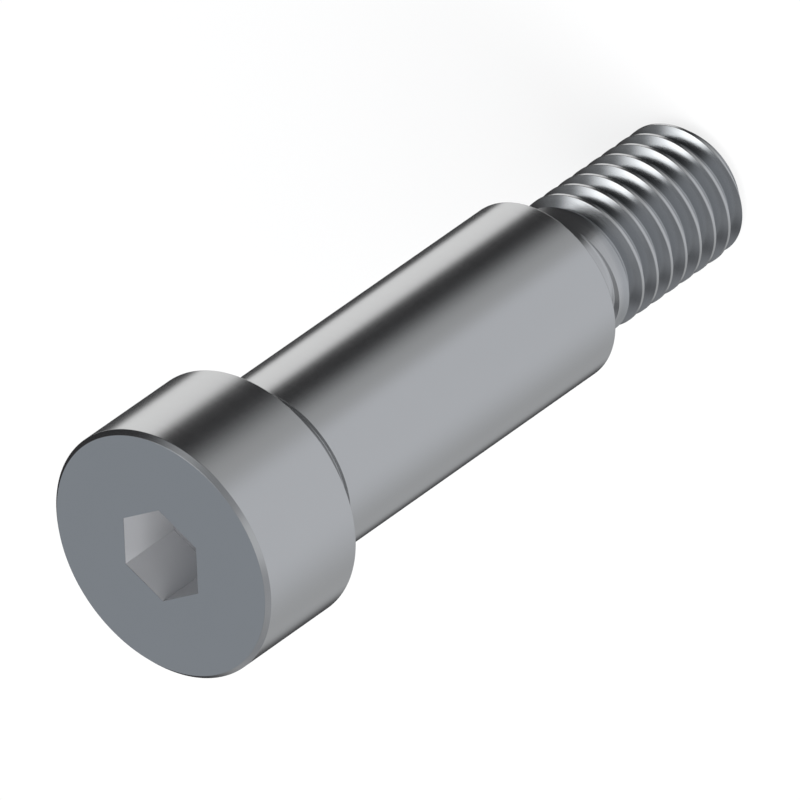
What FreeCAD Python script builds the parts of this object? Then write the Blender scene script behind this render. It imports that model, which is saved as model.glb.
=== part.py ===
import FreeCAD, Part
import math
import os

from FreeCAD import Vector

# Hexagon socket head shoulder bolt, turned and threaded from one bar, in millimetres.
# The origin is the centre of the threaded end's face and +Z runs up the axis to the head.
# +X runs through a corner of the hexagon socket.

# Head
head_diameter = 17.86
head_height = 8.92
head_edge_break = 0.30
socket_across_flats = 6.03
socket_depth = 4.94

# Shoulder, ground to size, with a relief for the grinding wheel under the head
shoulder_diameter = 12.965
shoulder_length = 30.0
shoulder_edge_break = 0.175
relief_diameter = 12.42
relief_width = 2.49

# Neck between the shoulder and the thread
neck_diameter = 7.91
neck_width = 1.73
neck_corner_radius = 0.40
neck_ramp_angle = 30.0

# Right-hand metric thread, with its diameters over the crests and at the root
thread_diameter = 9.85
thread_root_diameter = 8.256
thread_pitch = 1.50
thread_length = 16.0
thread_crest_width = 0.23
thread_flank_angle = 30.0
thread_end_chamfer = 0.96

# Direction in which a crest rises through the end's face, turned from +X
thread_start_angle = 40.8

# Heights of the steps, from the threaded end's face
shoulder_z = thread_length
head_z = shoulder_z + shoulder_length
top_z = head_z + head_height
neck_foot_z = shoulder_z - neck_width
neck_middle_z = shoulder_z - neck_width / 2

axis_foot = Vector(0, 0, 0)
axis_up = Vector(0, 0, 1)


def turned(outline):
    """Solid of revolution about the bolt's axis from a closed outline in the XZ plane."""
    return Part.Face(outline).revolve(axis_foot, axis_up, 360)


def outline_through(corners):
    """Straight-sided closed outline through (radius, height) corners."""
    points = [Vector(radius, 0, height) for radius, height in corners]
    return Part.makePolygon(points + points[:1])


def head_and_shoulder():
    """Everything above the middle of the neck, as it leaves the lathe and the grinder."""
    head_radius = head_diameter / 2
    shoulder_radius = shoulder_diameter / 2
    relief_radius = relief_diameter / 2
    relief_z = head_z - relief_width
    body = turned(outline_through([
        (0, shoulder_z),
        (shoulder_radius - shoulder_edge_break, shoulder_z),
        (shoulder_radius, shoulder_z + shoulder_edge_break),
        (shoulder_radius, relief_z),
        (relief_radius, relief_z),
        (relief_radius, head_z),
        (head_radius, head_z),
        (head_radius, top_z - head_edge_break),
        (head_radius - head_edge_break, top_z),
        (0, top_z),
    ]))
    return body.fuse(flared_neck())


def flared_neck():
    """Upper half of the neck, which flares into the shoulder's end through a quarter round."""
    neck_radius = neck_diameter / 2
    flare_radius = neck_radius + neck_corner_radius
    flare_z = shoulder_z - neck_corner_radius
    flare_middle = neck_corner_radius * (1 - math.sqrt(0.5))
    flare = Part.Arc(
        Vector(neck_radius, 0, flare_z),
        Vector(neck_radius + flare_middle, 0, shoulder_z - flare_middle),
        Vector(flare_radius, 0, shoulder_z),
    )
    sides = Part.makePolygon([
        Vector(flare_radius, 0, shoulder_z),
        Vector(0, 0, shoulder_z),
        Vector(0, 0, neck_middle_z),
        Vector(neck_radius, 0, neck_middle_z),
        Vector(neck_radius, 0, flare_z),
    ])
    return turned(Part.Wire([flare.toShape()] + sides.Edges))


def hexagon_socket():
    """Prism that the broached socket removes, standing just proud of the head."""
    corner_radius = socket_across_flats / 2 / math.cos(math.pi / 6)
    floor_z = top_z - socket_depth
    corners = []
    for index in range(7):
        angle = math.radians(60 * index)
        corners.append(Vector(corner_radius * math.cos(angle), corner_radius * math.sin(angle), floor_z))
    return Part.Face(Part.makePolygon(corners)).extrude(axis_up * (socket_depth + head_edge_break))


def helix_turn(radius, start_z):
    """One turn of a right-hand helix, from the thread's start direction round to it again."""
    turn = Part.makeHelix(thread_pitch, thread_pitch, radius)
    turn.rotate(axis_foot, axis_up, thread_start_angle)
    turn.translate(axis_up * start_z)
    return turn.Edges[0]


def bar_end(thread_section, rim):
    """Closes one end of the threaded bar: a ramp from the axis to the rim, and the step it leaves."""
    low = Vector(0, 0, thread_section[0].z)
    high = low + axis_up * thread_pitch
    ramp = Part.makeRuledSurface(Part.makeLine(low, high), rim)
    step = Part.Face(Part.makePolygon([low] + thread_section + [high, low]))
    return ramp.Faces + [step]


def threaded_bar(top):
    """Bar threaded all the way, from two turns under the end's face to above the given height."""
    crest_radius = thread_diameter / 2
    root_radius = thread_root_diameter / 2
    flank_height = (crest_radius - root_radius) * math.tan(math.radians(thread_flank_angle))
    section = [
        (crest_radius, 0),
        (crest_radius, thread_crest_width),
        (root_radius, thread_crest_width + flank_height),
        (root_radius, thread_pitch - flank_height),
    ]
    start_z = -2 * thread_pitch
    turns = math.ceil(top / thread_pitch) + 2
    helices = []
    for turn in range(turns):
        for radius, rise in section:
            helices.append(helix_turn(radius, start_z + turn * thread_pitch + rise))
    helices.append(helix_turn(crest_radius, start_z + turns * thread_pitch))
    faces = []
    for lower, upper in zip(helices, helices[1:]):
        faces += Part.makeRuledSurface(lower, upper).Faces
    turn_of_section = section + [(crest_radius, thread_pitch)]
    for end_z, rim in ((start_z, helices[0]), (start_z + turns * thread_pitch, helices[-1])):
        corners = []
        for radius, rise in turn_of_section:
            corner = Vector(radius, 0, end_z + rise)
            corners.append(FreeCAD.Rotation(axis_up, thread_start_angle).multVec(corner))
        faces += bar_end(corners, rim)
    shell = Part.makeShell(faces)
    shell.sewShape()
    bar = Part.makeSolid(shell)
    if bar.Volume < 0:
        bar.reverse()
    return bar


def threaded_end():
    """The bar as the end chamfer, the ramp at the neck's foot and the neck itself leave it."""
    neck_radius = neck_diameter / 2
    end_radius = thread_diameter / 2 - thread_end_chamfer
    clear_radius = thread_diameter / 2 + thread_pitch / 4
    ramp_height = (clear_radius - neck_radius) / math.tan(math.radians(neck_ramp_angle))
    limits = turned(outline_through([
        (0, 0),
        (end_radius, 0),
        (clear_radius, clear_radius - end_radius),
        (clear_radius, neck_foot_z - ramp_height),
        (neck_radius, neck_foot_z),
        (neck_radius, neck_middle_z),
        (0, neck_middle_z),
    ]))
    return threaded_bar(neck_middle_z).common(limits)


def shoulder_bolt():
    bolt = head_and_shoulder().fuse(threaded_end()).removeSplitter()
    return bolt.cut(hexagon_socket())


os.makedirs("parts", exist_ok=True)
bolt = shoulder_bolt()
bolt.exportStep("parts/shoulder_bolt.step")
print("solids", len(bolt.Solids), "valid", bolt.isValid(), "faces", len(bolt.Faces))
print("volume", round(bolt.Volume, 2), "height", round(bolt.optimalBoundingBox().ZLength, 3))
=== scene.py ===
import math

import bpy
from mathutils import Matrix, Vector


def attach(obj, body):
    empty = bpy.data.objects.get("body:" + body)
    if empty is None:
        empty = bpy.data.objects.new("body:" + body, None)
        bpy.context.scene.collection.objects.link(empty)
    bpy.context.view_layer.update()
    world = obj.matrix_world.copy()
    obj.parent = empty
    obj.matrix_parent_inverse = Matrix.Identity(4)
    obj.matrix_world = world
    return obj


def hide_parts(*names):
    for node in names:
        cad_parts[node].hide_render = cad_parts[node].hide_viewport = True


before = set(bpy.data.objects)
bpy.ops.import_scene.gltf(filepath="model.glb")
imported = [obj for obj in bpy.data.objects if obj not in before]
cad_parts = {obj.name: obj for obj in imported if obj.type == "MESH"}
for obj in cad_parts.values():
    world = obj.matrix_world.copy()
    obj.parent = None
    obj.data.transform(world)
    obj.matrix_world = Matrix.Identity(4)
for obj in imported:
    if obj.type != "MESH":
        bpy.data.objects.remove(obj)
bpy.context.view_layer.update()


# The bolt's blank: one round steel bar, turned between centres to the head, the relief under it, the
# shoulder, the neck and the rod that the thread is cut on. The shoulder is then ground to size. Sizes are
# in millimetres from the threaded end's face, and each corner has the small round that the tool leaves.

head_radius = 8.93
head_top = 54.92
head_underside = 46.0
head_edge_break = 0.30
face_ring_width = 1.0
relief_radius = 6.21
relief_foot = 43.51
shoulder_radius = 6.4825
shoulder_foot = 16.0
shoulder_edge_break = 0.175
neck_radius = 3.955
neck_flare = 0.40
neck_foot = 14.02
neck_ramp_angle = 30.0
rod_radius = 5.30
end_radius = 3.965
sides_of_a_round = 256


def rounded_outline(corners, steps=4):
    """Outline through (radius, height, round) corners, with each round as a short curve."""
    outline = []
    for index, (radius, height, reach) in enumerate(corners):
        here = Vector((radius, height))
        if reach == 0:
            outline.append(here)
            continue
        before = Vector(corners[index - 1][:2])
        after = Vector(corners[index + 1][:2])
        start = here + (before - here).normalized() * reach
        end = here + (after - here).normalized() * reach
        for step in range(steps + 1):
            part = step / steps
            outline.append(start * (1 - part) ** 2 + here * 2 * part * (1 - part) + end * part ** 2)
    return outline


def round_the_axis(radius, turn, height):
    return (radius * math.cos(turn), radius * math.sin(turn), height)


def mesh_piece(name, points, faces):
    mesh = bpy.data.meshes.new(name)
    mesh.from_pydata(points, [], faces)
    mesh.validate()
    piece = bpy.data.objects.new(name, mesh)
    bpy.context.scene.collection.objects.link(piece)
    return piece


def turned_solid(name, outline, sides):
    """Closed solid of revolution whose outline runs from the foot of the axis to its top."""
    points = []
    for radius, height in outline:
        for side in range(sides):
            points.append(round_the_axis(radius, math.tau * side / sides, height))
    faces = [list(range(sides))[::-1]]
    for ring in range(len(outline) - 1):
        low = ring * sides
        for side in range(sides):
            following = (side + 1) % sides
            faces.append([low + side, low + following, low + sides + following, low + sides + side])
    top = (len(outline) - 1) * sides
    faces.append(list(range(top, top + sides)))
    return mesh_piece(name, points, faces)


ramp_height = (rod_radius - neck_radius) / math.tan(math.radians(neck_ramp_angle))
blank = turned_solid("steel_bolt", rounded_outline([
    (end_radius, 0, 0),
    (rod_radius, rod_radius - end_radius, 0),
    (rod_radius, neck_foot - ramp_height, 0),
    (neck_radius, neck_foot, 0.06),
    (neck_radius, shoulder_foot, neck_flare),
    (shoulder_radius - shoulder_edge_break, shoulder_foot, 0.04),
    (shoulder_radius, shoulder_foot + shoulder_edge_break, 0.04),
    (shoulder_radius, relief_foot, 0.03),
    (relief_radius, relief_foot, 0.05),
    (relief_radius, head_underside, 0.12),
    (head_radius, head_underside, 0.05),
    (head_radius, head_top - head_edge_break, 0.02),
    (head_radius - head_edge_break, head_top, 0.01),
    (head_radius - face_ring_width, head_top, 0),
]), sides_of_a_round)


# The thread: right-hand, metric, 10 mm by size and 1.5 mm from crest to crest, cut up to the neck. What
# the die takes away is a sleeve with the thread as its bore. The end's chamfer and the neck's ramp, which
# were turned before it, leave the thread's start and its run-out.

crest_radius = 4.925
root_radius = 4.128
pitch = 1.50
crest_width = 0.23
flank_angle = 30.0
crest_turn = 40.8
crest_ease = 0.025
root_ease = 0.05
sleeve_radius = 6.0
sleeve_top = 14.9
steps_of_a_turn = 192


def thread_section():
    """One turn of the thread as (radius, rise) corners, from a crest down to the root and up again."""
    slope = math.tan(math.radians(flank_angle))
    flank_height = (crest_radius - root_radius) * slope
    crest_rise = crest_ease * slope
    root_rise = root_ease * slope
    root_bend = root_ease / 4
    return [
        (crest_radius, crest_rise),
        (crest_radius, crest_width - crest_rise),
        (crest_radius - crest_ease, crest_width + crest_rise),
        (root_radius + root_ease, crest_width + flank_height - root_rise),
        (root_radius + root_bend, crest_width + flank_height + root_bend),
        (root_radius, crest_width + flank_height + root_ease),
        (root_radius, pitch - flank_height - root_ease),
        (root_radius + root_bend, pitch - flank_height - root_bend),
        (root_radius + root_ease, pitch - flank_height + root_rise),
        (crest_radius - crest_ease, pitch - crest_rise),
    ]


def threaded_sleeve():
    """Closed sleeve with the thread as its bore, from under the end's face to above the run-out."""
    section = thread_section()
    rows = len(section)
    foot = -2 * pitch
    last = (math.ceil(sleeve_top / pitch) + 1) * steps_of_a_turn
    points = []
    bore = {}
    wall = {}
    for step in range(last + steps_of_a_turn + 1):
        turn = math.radians(crest_turn) + math.tau * step / steps_of_a_turn
        height = foot + pitch * step / steps_of_a_turn
        corners = section if step <= last else section[:1]
        for row, (radius, rise) in enumerate(corners):
            bore[step, row] = len(points)
            points.append(round_the_axis(radius, turn, height + rise))
        wall[step] = len(points)
        points.append(round_the_axis(sleeve_radius, turn, height + section[0][1]))
    for step in range(last + 1):
        bore[step, rows] = bore[step + steps_of_a_turn, 0]
    faces = []
    for step in range(last):
        after = step + 1
        for row in range(rows):
            faces.append([bore[step, row], bore[step, row + 1], bore[after, row + 1], bore[after, row]])
        next_turn = step + steps_of_a_turn
        faces.append([wall[step], wall[after], wall[next_turn + 1], wall[next_turn]])
    for step in range(steps_of_a_turn):
        faces.append([bore[step, 0], bore[step + 1, 0], wall[step + 1], wall[step]])
        high = last + step
        faces.append([bore[high, 0], wall[high], wall[high + 1], bore[high + 1, 0]])
    for step, order in ((0, -1), (last, 1)):
        edge = [bore[step, row] for row in range(rows + 1)] + [wall[step + steps_of_a_turn], wall[step]]
        faces.append(edge[::order])
    return mesh_piece("threaded_sleeve", points, faces)


def worked_mesh(piece, kind, **settings):
    """Gives a piece the mesh that a modifier makes of it."""
    modifier = piece.modifiers.new("work", kind)
    for name, value in settings.items():
        setattr(modifier, name, value)
    bpy.context.view_layer.update()
    made = bpy.data.meshes.new_from_object(piece.evaluated_get(bpy.context.evaluated_depsgraph_get()))
    piece.modifiers.clear()
    piece.data = made


def cut_away(piece, tool):
    worked_mesh(piece, "BOOLEAN", operation="DIFFERENCE", solver="EXACT", object=tool)
    bpy.data.objects.remove(tool)


cut_away(blank, threaded_sleeve())


# The socket: a hexagon 6 mm across its flats, pressed into the head's face with a broach, 4.94 mm deep
# with a flat floor. Its corners and its mouth are sharp. It is the last cut, and the bolt has its shape.

socket_across_flats = 6.03
socket_depth = 4.94
socket_foot = head_top - socket_depth
broach_stroke = socket_depth + 1.0
sharp_angle = 25
millimetre = 0.001
enlarged = 100


def socket_prism():
    corner_radius = socket_across_flats / 2 / math.cos(math.pi / 6)
    points = []
    for height in (socket_foot, socket_foot + broach_stroke):
        for corner in range(6):
            points.append(round_the_axis(corner_radius, math.radians(60 * corner), height))
    faces = [[5, 4, 3, 2, 1, 0], [6, 7, 8, 9, 10, 11]]
    for corner in range(6):
        following = (corner + 1) % 6
        faces.append([corner, following, following + 6, corner + 6])
    return mesh_piece("socket_prism", points, faces)


cut_away(blank, socket_prism())
blank.data.polygons.foreach_set("use_smooth", [True] * len(blank.data.polygons))
blank.data.set_sharp_from_angle(angle=math.radians(sharp_angle))

# The modifier passes over very small faces, so the mesh is enlarged for it and then brought to metres
blank.data.transform(Matrix.Scale(enlarged, 4))
worked_mesh(blank, "WEIGHTED_NORMAL", keep_sharp=True, mode="FACE_AREA", weight=50)
blank.data.transform(Matrix.Scale(millimetre / enlarged, 4))

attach(blank, "root")
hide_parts("shoulder_bolt")


# The finish: bright steel, clean and uncoated. The head and shoulder keep faint rings from the lathe and
# the grinder, the face rings from facing, and the socket upright marks from the broach, which leaves it
# duller. The thread's groove has painted shade in its colour: a little darker than its crests, and
# darkest at the root.

dark_steel = (0.565, 0.568, 0.57, 1)
light_steel = (0.585, 0.588, 0.59, 1)
# The groove's colour and the root's darker one are painted shade, darkest where the thread is deepest
groove_painted_shade = (0.50, 0.51, 0.52, 1)
root_painted_shade = (0.455, 0.465, 0.475, 1)
socket_steel = (0.57, 0.575, 0.59, 1)
socket_side_dullness = 0.45
socket_floor_dullness = 0.23
steel_roughness = 0.22
marks_in_roughness = 0.06
clouds_in_roughness = 0.03
mark_depth = 0.0000016

# Where one finish meets the next, as heights and distances from the axis in millimetres
face_limit = head_top - 0.02
socket_reach = 3.55
socket_limit = socket_foot - 0.01
socket_floor_limit = socket_foot + 0.02
run_out_limit = 12.9
crest_limit = crest_radius - 0.045
root_limit = crest_radius - 0.265

# Waves to the metre, first across each kind of mark and then along it
ring_waves = 9000
ring_length_waves = 60
broach_waves = 7000
broach_length_waves = 120
cloud_waves = 260
cloud_height_waves = 160


class Value:
    """A number that a shader works out: arithmetic on it adds the Math nodes."""

    def __init__(self, shader, socket):
        self.shader = shader
        self.socket = socket

    def worked(self, operation, *others):
        return self.shader.node("Math", {"operation": operation}, dict(enumerate((self, *others))))

    def __add__(self, other):
        return self.worked("ADD", other)

    def __sub__(self, other):
        return self.worked("SUBTRACT", other)

    def __rsub__(self, other):
        return self.shader.node("Math", {"operation": "SUBTRACT"}, {0: other, 1: self})

    def __mul__(self, other):
        return self.worked("MULTIPLY", other)

    __radd__ = __add__
    __rmul__ = __mul__

    def past(self, limit, softness):
        """0 short of a limit and 1 past it, with a soft step."""
        return self.shader.node("MapRange", {"interpolation_type": "SMOOTHSTEP"}, {
            "Value": self,
            "From Min": limit - softness,
            "From Max": limit + softness,
        })

    def output(self, name):
        return Value(self.shader, self.socket.node.outputs[name])


class Shader:
    """The nodes of one material or of the world."""

    def __init__(self, owner):
        owner.use_nodes = True
        self.tree = owner.node_tree
        self.tree.nodes.clear()

    def node(self, kind, settings, sockets, output=0):
        made = self.tree.nodes.new("ShaderNode" + kind)
        for name, value in settings.items():
            setattr(made, name, value)
        for name, value in sockets.items():
            if isinstance(value, Value):
                self.tree.links.new(value.socket, made.inputs[name])
            else:
                made.inputs[name].default_value = value
        if made.outputs:
            return Value(self, made.outputs[output])

    def mixed(self, factor, first, second):
        return self.node("Mix", {"data_type": "RGBA"}, {0: factor, 6: first, 7: second}, output=2)


steel = bpy.data.materials.new("bright_steel")
shader = Shader(steel)
place = shader.node("TexCoord", {}, {}, output="Object")
across_x = shader.node("SeparateXYZ", {}, {0: place}, output="X")
across_y = across_x.output("Y")
height = across_x.output("Z")
radius = (across_x * across_x + across_y * across_y).worked("SQRT")


def beyond(value, limit, softness):
    """0 short of a limit and 1 past it, with the limit and the softness in millimetres on the bolt."""
    return value.past(limit * millimetre, softness * millimetre)


def marks(waves_across, third, waves_of_third, detail=3.0):
    """Noise from -0.5 to 0.5 over the bolt, with waves to the metre for X and Y and for a third value."""
    stretched = shader.node("CombineXYZ", {}, {
        "X": across_x * waves_across,
        "Y": across_y * waves_across,
        "Z": third * waves_of_third,
    })
    return shader.node("TexNoise", {}, {"Vector": stretched, "Scale": 1.0, "Detail": detail}) - 0.5


turning_marks = marks(ring_length_waves, height, ring_waves)
facing_marks = marks(ring_length_waves, radius, ring_waves)
broach_marks = marks(broach_waves, height, broach_length_waves)
clouds = marks(cloud_waves, height, cloud_height_waves, detail=4.0)

under_the_face = 1 - beyond(height, face_limit, softness=0.005)
inside_the_hexagon = 1 - beyond(radius, socket_reach, softness=0.05)
in_socket = inside_the_hexagon * beyond(height, socket_limit, softness=0.01) * under_the_face
on_socket_floor = 1 - beyond(height, socket_floor_limit, softness=0.01)
on_face = beyond(height, face_limit, softness=0.01)
in_thread = 1 - beyond(height, run_out_limit, softness=0.3)
on_crest = beyond(radius, crest_limit, softness=0.02)
near_root = 1 - beyond(radius, root_limit, softness=0.12)

steel_colour = shader.mixed(clouds + 0.5, dark_steel, light_steel)
# Painted shade in the thread: the groove darker than the crests, and darker again near the root
steel_colour = shader.mixed(in_thread * (1 - on_crest), steel_colour, groove_painted_shade)
steel_colour = shader.mixed(in_thread * near_root, steel_colour, root_painted_shade)
steel_colour = shader.mixed(in_socket, steel_colour, socket_steel)

turned_part = (1 - on_face) * (1 - in_socket)
tool_marks = turning_marks * turned_part + facing_marks * on_face + broach_marks * in_socket
socket_dullness = socket_side_dullness - on_socket_floor * (socket_side_dullness - socket_floor_dullness)
surface = shader.node("BsdfPrincipled", {}, {
    "Base Color": steel_colour,
    "Metallic": 1 - in_socket * socket_dullness,
    "Roughness": steel_roughness + tool_marks * marks_in_roughness + clouds * clouds_in_roughness,
    "Normal": shader.node("Bump", {}, {"Strength": 1.0, "Distance": mark_depth, "Height": tool_marks}),
})
shader.node("OutputMaterial", {}, {"Surface": surface})
blank.data.materials.clear()
blank.data.materials.append(steel)


# The camera: a very long lens, so that near and far ends show at one scale. It looks down from 40 degrees
# above the floor, rolled so that the head is at the lower left and the threaded end at the upper right.
# Angles are in degrees, lengths in metres, and the lens and its sensor in millimetres.

camera_turn = -105.32
camera_rise = 40.0
camera_roll = 35.02
frame_width = 0.051797
face_to_middle_across = 0.015375
face_to_middle_up = 0.010015
face_to_middle_deep = 0.01765
lens = 1600.0
sensor = 36.0

upright = Vector((0, 0, 1))
side_on = Vector(round_the_axis(1, math.radians(camera_turn), 0))
across = Vector((side_on.y, -side_on.x, 0))
rise = math.radians(camera_rise)
roll = math.radians(camera_roll)
looking = -math.sin(rise) * upright - math.cos(rise) * side_on
to_the_tip = math.sin(rise) * side_on - math.cos(rise) * upright
right = math.cos(roll) * to_the_tip + math.sin(roll) * across
up = math.sin(roll) * to_the_tip - math.cos(roll) * across
distance = frame_width * lens / sensor
face_centre = upright * head_top * millimetre
to_the_middle = right * face_to_middle_across + up * face_to_middle_up + looking * face_to_middle_deep

camera = bpy.data.objects.new("camera", bpy.data.cameras.new("camera"))
bpy.context.scene.collection.objects.link(camera)
camera.data.lens = lens
camera.data.sensor_width = sensor
camera.data.clip_start = 0.1
camera.data.clip_end = 10.0
rolled = Matrix((right, up, -looking)).transposed().to_4x4()
camera.matrix_world = Matrix.Translation(face_centre + to_the_middle - looking * distance) @ rolled
bpy.context.scene.camera = camera


# The floor: a sheet of pale paper that the bolt stands on. The camera sees it nearly white, with the
# bolt's soft shadow on it. The steel doesn't reflect it, and shows the studio's screens down to its foot.

floor_reach = 1.0
paper_white = 0.86
white_share = 0.8

floor = mesh_piece("floor", [
    (-floor_reach, -floor_reach, 0),
    (floor_reach, -floor_reach, 0),
    (floor_reach, floor_reach, 0),
    (-floor_reach, floor_reach, 0),
], [[0, 1, 2, 3]])
floor.visible_glossy = False
paper = bpy.data.materials.new("floor_paper")
shader = Shader(paper)
camera_ray = shader.node("LightPath", {}, {}, output="Is Camera Ray")
paper_face = shader.node("BsdfPrincipled", {}, {
    "Base Color": (paper_white, paper_white, paper_white, 1),
    "Roughness": 0.9,
    "Specular IOR Level": 0.0,
})
white_face = shader.node("Emission", {}, {"Color": (1, 1, 1, 1), "Strength": 1.0})
surface = shader.node("MixShader", {}, {0: camera_ray * white_share, 1: paper_face, 2: white_face})
shader.node("OutputMaterial", {}, {"Surface": surface})
floor.data.materials.append(paper)


# The lamp: one large softbox on the camera's left, half way up. It lights the floor and the socket's
# partly dull sides, each by the way it faces. Reflections don't show the lamp, but the screens alone.

lamp_turn = 42
lamp_rise = 46
lamp_distance = 0.9


def toward(turn, rise):
    """Direction from the bolt, turned to the camera's left and raised above the floor, in degrees."""
    turn = math.radians(turn)
    level = math.cos(turn) * side_on + math.sin(turn) * across
    return math.cos(math.radians(rise)) * level + math.sin(math.radians(rise)) * upright


lamp = bpy.data.objects.new("softbox", bpy.data.lights.new("softbox", "AREA"))
bpy.context.scene.collection.objects.link(lamp)
lamp.data.shape = "SQUARE"
lamp.data.size = 1.0
lamp.data.energy = 15.0
lamp.location = toward(lamp_turn, lamp_rise) * lamp_distance
lamp.rotation_euler = toward(lamp_turn, lamp_rise).to_track_quat("Z", "Y").to_euler()
lamp.visible_glossy = False
lamp.visible_camera = False


# The studio round the bolt: soft grey screens that the steel reflects, before a white wall. They are pale
# low on the camera's left, dark low on its right, and brightest high above the dark one. The camera sees
# the wall alone. Reflections see it through a gap low behind the bolt, and elsewhere see the screens.

world = bpy.data.worlds.new("studio")
bpy.context.scene.world = world
shader = Shader(world)
direction = shader.node("TexCoord", {}, {}, output="Generated")


def along(way):
    return shader.node("VectorMath", {"operation": "DOT_PRODUCT"}, {0: direction, 1: way}, output="Value")


raised_by = along(upright).worked("ARCSINE")


def between(value, low, high, low_softness, high_softness):
    """1 between two angles and 0 outside them, with soft edges, all in degrees."""
    past_low = value.past(math.radians(low), math.radians(low_softness))
    past_high = value.past(math.radians(high), math.radians(high_softness))
    return past_low * (1 - past_high)


def screen(first, last, foot, top, first_softness, last_softness, level_softness):
    """1 on a screen and 0 beside it, from its turns and rises as toward() takes them."""
    middle_turn = (first + last) / 2
    half = (last - first) / 2
    front = along(toward(middle_turn, 0))
    turned_by = along(toward(middle_turn + 90, 0)).worked("ARCTAN2", front)
    return (between(turned_by, -half, half, first_softness, last_softness)
            * between(raised_by, foot, top, level_softness, level_softness))


# Each screen's first and last turn, its foot and top rise, and the softness of its first, last and level
# edges, all in degrees, and then its colour
screens = [
    ((-179, 179, 38, 120, 1, 1, 10), (0.25, 0.26, 0.275, 1)),
    ((156, 204, 12, 70, 10, 10, 12), (0.34, 0.37, 0.407, 1)),
    ((-165, -136, 22, 54, 8, 8, 8), (0.165, 0.155, 0.15, 1)),
    ((-140, -116, 28, 48, 8, 8, 6), (0.23, 0.235, 0.24, 1)),
    ((-80, -12, 20, 52, 14, 14, 8), (0.27, 0.28, 0.295, 1)),
    ((-12, 106, 20, 52, 12, 14, 8), (0.39, 0.40, 0.42, 1)),
    ((14, 60, 38, 56, 10, 10, 5), (0.68, 0.70, 0.72, 1)),
    ((-48, 150, -120, 24, 19, 12, 12), (0.48, 0.49, 0.50, 1)),
    ((-14, 92, -120, 24, 12, 32, 12), (0.685, 0.705, 0.74, 1)),
    ((-88, -22, -22, 26, 10, 12, 6), (0.05, 0.05, 0.052, 1)),
    ((112, 150, 2, 30, 10, 10, 8), (0.33, 0.34, 0.36, 1)),
    ((-119, -60, 47, 80, 12, 12, 7), (1.7, 1.73, 1.75, 1)),
    ((-104, -50, 57, 83, 10, 14, 5), (2.5, 2.53, 2.55, 1)),
]
gap_edges = (-139.5, -92, -120, -12, 5, 6, 12)
unlit = (0.038, 0.038, 0.04, 1)
wall_white = (1, 1, 1, 1)

surroundings = unlit
for edges, colour in screens:
    surroundings = shader.mixed(screen(*edges), surroundings, colour)
gap = screen(*gap_edges)
camera_ray = shader.node("LightPath", {}, {}, output="Is Camera Ray")
through_the_gap = gap * (camera_ray.output("Is Glossy Ray") + camera_ray.output("Is Transmission Ray"))
seen = shader.mixed(camera_ray + through_the_gap, surroundings, wall_white)
background = shader.node("Background", {}, {"Color": seen, "Strength": 1.0})
shader.node("OutputWorld", {}, {"Surface": background})

bpy.context.scene.view_settings.view_transform = "Standard"
